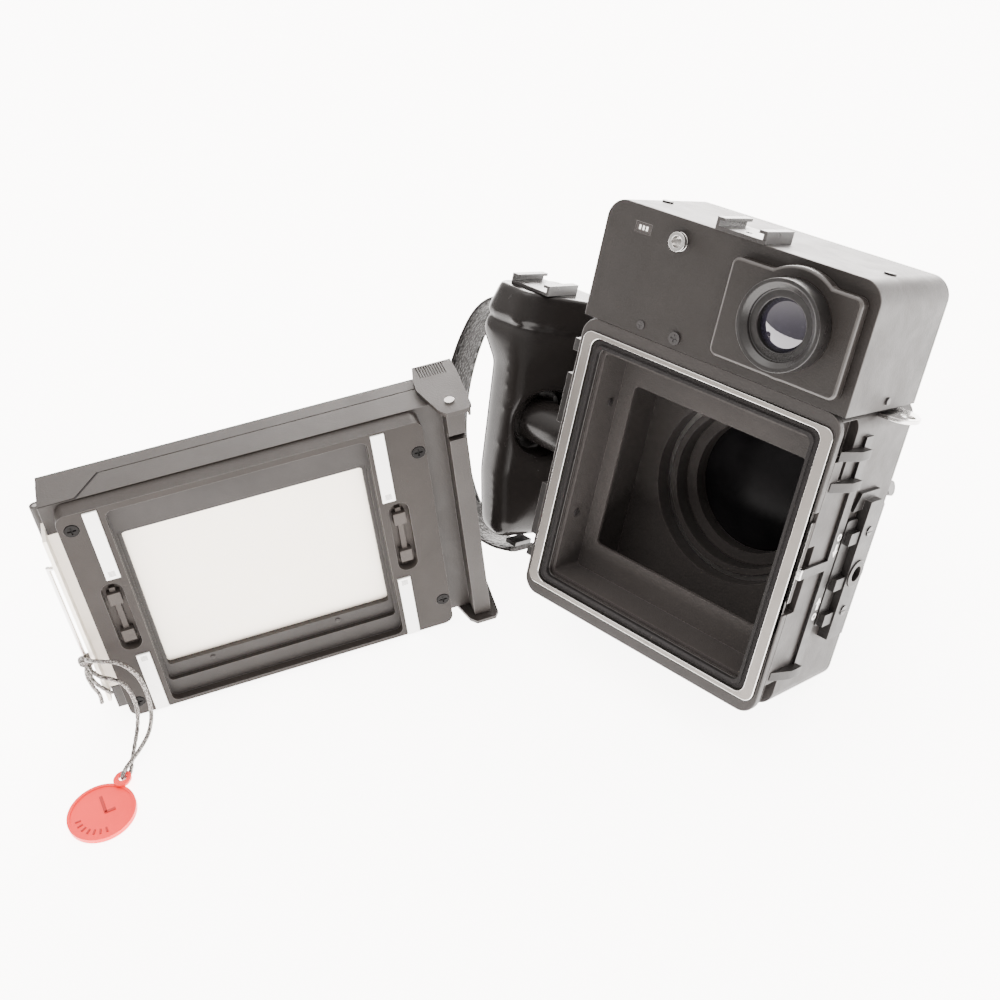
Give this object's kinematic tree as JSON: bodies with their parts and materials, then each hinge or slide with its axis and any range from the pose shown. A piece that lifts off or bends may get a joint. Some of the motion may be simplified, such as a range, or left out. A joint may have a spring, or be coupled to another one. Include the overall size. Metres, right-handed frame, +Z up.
{
  "type": "press camera",
  "caption": "Breech-lens press camera with rangefinder housing, side grip and hand strap, leaning on its lens beside its detached pack-film back with a tag on a string.",
  "frame": {"origin": "on the table under the middle of the whole object's box, without the tag and string", "axes": "+Z up, +X to the camera's right seen from its film side, +Y horizontally towards its lens side"},
  "size_m": [0.2482, 0.3377, 0.1808],
  "materials": {
    "body_black": "satin crackle paint",
    "housing_black": "fine matt",
    "flange_silver": "satin",
    "seal_foam": "matt",
    "eyepiece_rubber": "satin",
    "optical_glass": "coated",
    "shoe_steel": "satin",
    "bright_chrome": "polished",
    "counter_white": "gloss",
    "screw_black": "black oxide",
    "bracket_black": "satin",
    "lens_black": "black anodised",
    "lens_silver": "satin",
    "grip_black": "high gloss",
    "strap_leather": "grained",
    "back_grey": "fine matt",
    "plate_grey": "satin",
    "strip_white": "polished",
    "roller_steel": "polished",
    "spring_steel": "satin",
    "slide_cream": "satin",
    "tag_red": "satin",
    "string_silver": "braided metallic thread"
  },
  "bodies": {
    "camera": {"body_casting": "body_black", "rear_frame": "body_black", "film_flange": "flange_silver", "light_seal": "seal_foam", "light_baffle": "body_black", "rangefinder_housing": "housing_black", "eyepiece_panel": "housing_black", "eyepiece_ring": "eyepiece_rubber", "eyepiece_glass": "optical_glass", "viewfinder_window": "optical_glass", "rangefinder_window": "optical_glass", "top_shoe": "shoe_steel", "sync_socket": "bright_chrome", "number_window": "counter_white", "housing_screws": "screw_black", "tripod_bracket": "bracket_black", "tripod_bush": "bright_chrome", "bracket_screws": "screw_black", "strap_lug": "bright_chrome", "lens_mount_ring": "flange_silver", "lens_barrel": "lens_black", "grip_rear": "grip_black", "grip_front": "grip_black", "grip_cap": "grip_black", "grip_shoe": "shoe_steel", "grip_arm": "grip_black", "hand_strap": "strap_leather", "strap_anchors": "bright_chrome"},
    "breech_ring": {"breech_ring": "lens_black"},
    "focus_ring": {"focus_ring": "lens_black"},
    "lens_group": {"lens_tube": "lens_black", "rear_glass": "optical_glass", "shutter_housing": "lens_black", "front_barrel": "lens_black", "front_glass": "optical_glass"},
    "cocking_lever": {"cocking_lever": "bright_chrome"},
    "release_lever": {"release_lever": "bright_chrome"},
    "speed_ring": {"speed_ring": "lens_silver"},
    "aperture_ring": {"aperture_ring": "lens_silver"},
    "lock_slide": {"lock_slide": "bracket_black"},
    "lock_bar_right": {"lock_bar_right": "bright_chrome"},
    "lock_bar_left": {"lock_bar_left": "bracket_black"},
    "clamp_collar": {"clamp_collar": "grip_black"},
    "trigger": {"trigger": "bright_chrome"},
    "film_back": {"back_housing": "back_grey", "mount_plate": "plate_grey", "wear_strips": "strip_white", "plate_screws": "screw_black", "lock_catches": "plate_grey", "roller_frame": "spring_steel", "hinge_pin": "spring_steel"},
    "back_door": {"back_door": "back_grey", "pressure_springs": "spring_steel"},
    "latch": {"latch": "back_grey"},
    "roller_front": {"roller_front": "roller_steel"},
    "roller_rear": {"roller_rear": "roller_steel"},
    "dark_slide": {"dark_slide": "slide_cream", "slide_bail": "spring_steel", "tag": "tag_red", "tag_string": "string_silver"}
  },
  "joints": [
    {"name": "film_back_lift", "type": "slide", "parent": "camera", "child": "film_back", "axis": [0, 0, 1], "range_m": [0, 0.15]},
    {"name": "breech_turn", "type": "hinge", "parent": "camera", "child": "breech_ring", "pos_m": [0.0557, 0.08816, 0.05128], "axis": [0, 0.91, -0.4147], "range_deg": [0, 40]},
    {"name": "focus_turn", "type": "hinge", "parent": "camera", "child": "focus_ring", "pos_m": [0.0557, 0.10545, 0.0434], "axis": [0, -0.91, 0.4147], "range_deg": [0, 150]},
    {"name": "helicoid", "type": "slide", "parent": "camera", "child": "lens_group", "axis": [0, 0.91, -0.4147], "range_m": [0, 0.0035]},
    {"name": "cocking_swing", "type": "hinge", "parent": "lens_group", "child": "cocking_lever", "pos_m": [0.0557, 0.12319, 0.03531], "axis": [0, 0.91, -0.4147], "range_deg": [0, 40], "stiffness_Nm_per_rad": 0.03},
    {"name": "release_swing", "type": "hinge", "parent": "lens_group", "child": "release_lever", "pos_m": [0.0557, 0.12456, 0.03469], "axis": [0, 0.91, -0.4147], "range_deg": [-15, 0], "stiffness_Nm_per_rad": 0.03},
    {"name": "speed_turn", "type": "hinge", "parent": "lens_group", "child": "speed_ring", "pos_m": [0.0557, 0.12638, 0.03386], "axis": [0, 0.91, -0.4147], "range_deg": [-60, 60]},
    {"name": "aperture_turn", "type": "hinge", "parent": "lens_group", "child": "aperture_ring", "pos_m": [0.0557, 0.12911, 0.03262], "axis": [0, 0.91, -0.4147], "range_deg": [-50, 50]},
    {"name": "lock_slide_down", "type": "slide", "parent": "camera", "child": "lock_slide", "axis": [0, -0.4147, -0.91], "range_m": [0, 0.008]},
    {"name": "lock_bar_right_down", "type": "slide", "parent": "camera", "child": "lock_bar_right", "axis": [0, -0.4147, -0.91], "range_m": [0, 0.0032]},
    {"name": "lock_bar_left_down", "type": "slide", "parent": "camera", "child": "lock_bar_left", "axis": [0, -0.4147, -0.91], "range_m": [0, 0.0032]},
    {"name": "collar_turn", "type": "hinge", "parent": "camera", "child": "clamp_collar", "pos_m": [-0.0103, 0.05821, 0.06273], "axis": [1, 0, 0], "range_deg": [0, 90]},
    {"name": "trigger_pull", "type": "hinge", "parent": "camera", "child": "trigger", "pos_m": [-0.0458, 0.09327, 0.08324], "axis": [-1, 0, 0], "range_deg": [0, 8], "stiffness_Nm_per_rad": 0.3},
    {"name": "door_swing", "type": "hinge", "parent": "film_back", "child": "back_door", "pos_m": [-0.11724, -0.1367, 0.057], "axis": [0, 0, 1], "range_deg": [0, 100]},
    {"name": "latch_flip", "type": "hinge", "parent": "film_back", "child": "latch", "pos_m": [-0.026, -0.00254, 0.057], "axis": [0, 0, -1], "range_deg": [0, 16]},
    {"name": "roller_front_spin", "type": "hinge", "parent": "film_back", "child": "roller_front", "pos_m": [-0.03689, -0.00166, 0.057], "axis": [0, 0, 1], "continuous": true},
    {"name": "roller_rear_spin", "type": "hinge", "parent": "film_back", "child": "roller_rear", "pos_m": [-0.04498, 0.00272, 0.057], "axis": [0, 0, 1], "continuous": true},
    {"name": "dark_slide_pull", "type": "slide", "parent": "film_back", "child": "dark_slide", "axis": [-0.4756, -0.8796, 0], "range_m": [0, 0.126]}
  ],
  "couplings": [
    {"joint": "helicoid", "follows": "focus_turn", "m_per_rad": 0.0013369},
    {"joint": "lock_bar_right_down", "follows": "lock_slide_down", "ratio": 0.4},
    {"joint": "lock_bar_left_down", "follows": "lock_slide_down", "ratio": 0.4},
    {"joint": "roller_rear_spin", "follows": "roller_front_spin", "ratio": -1}
  ]
}
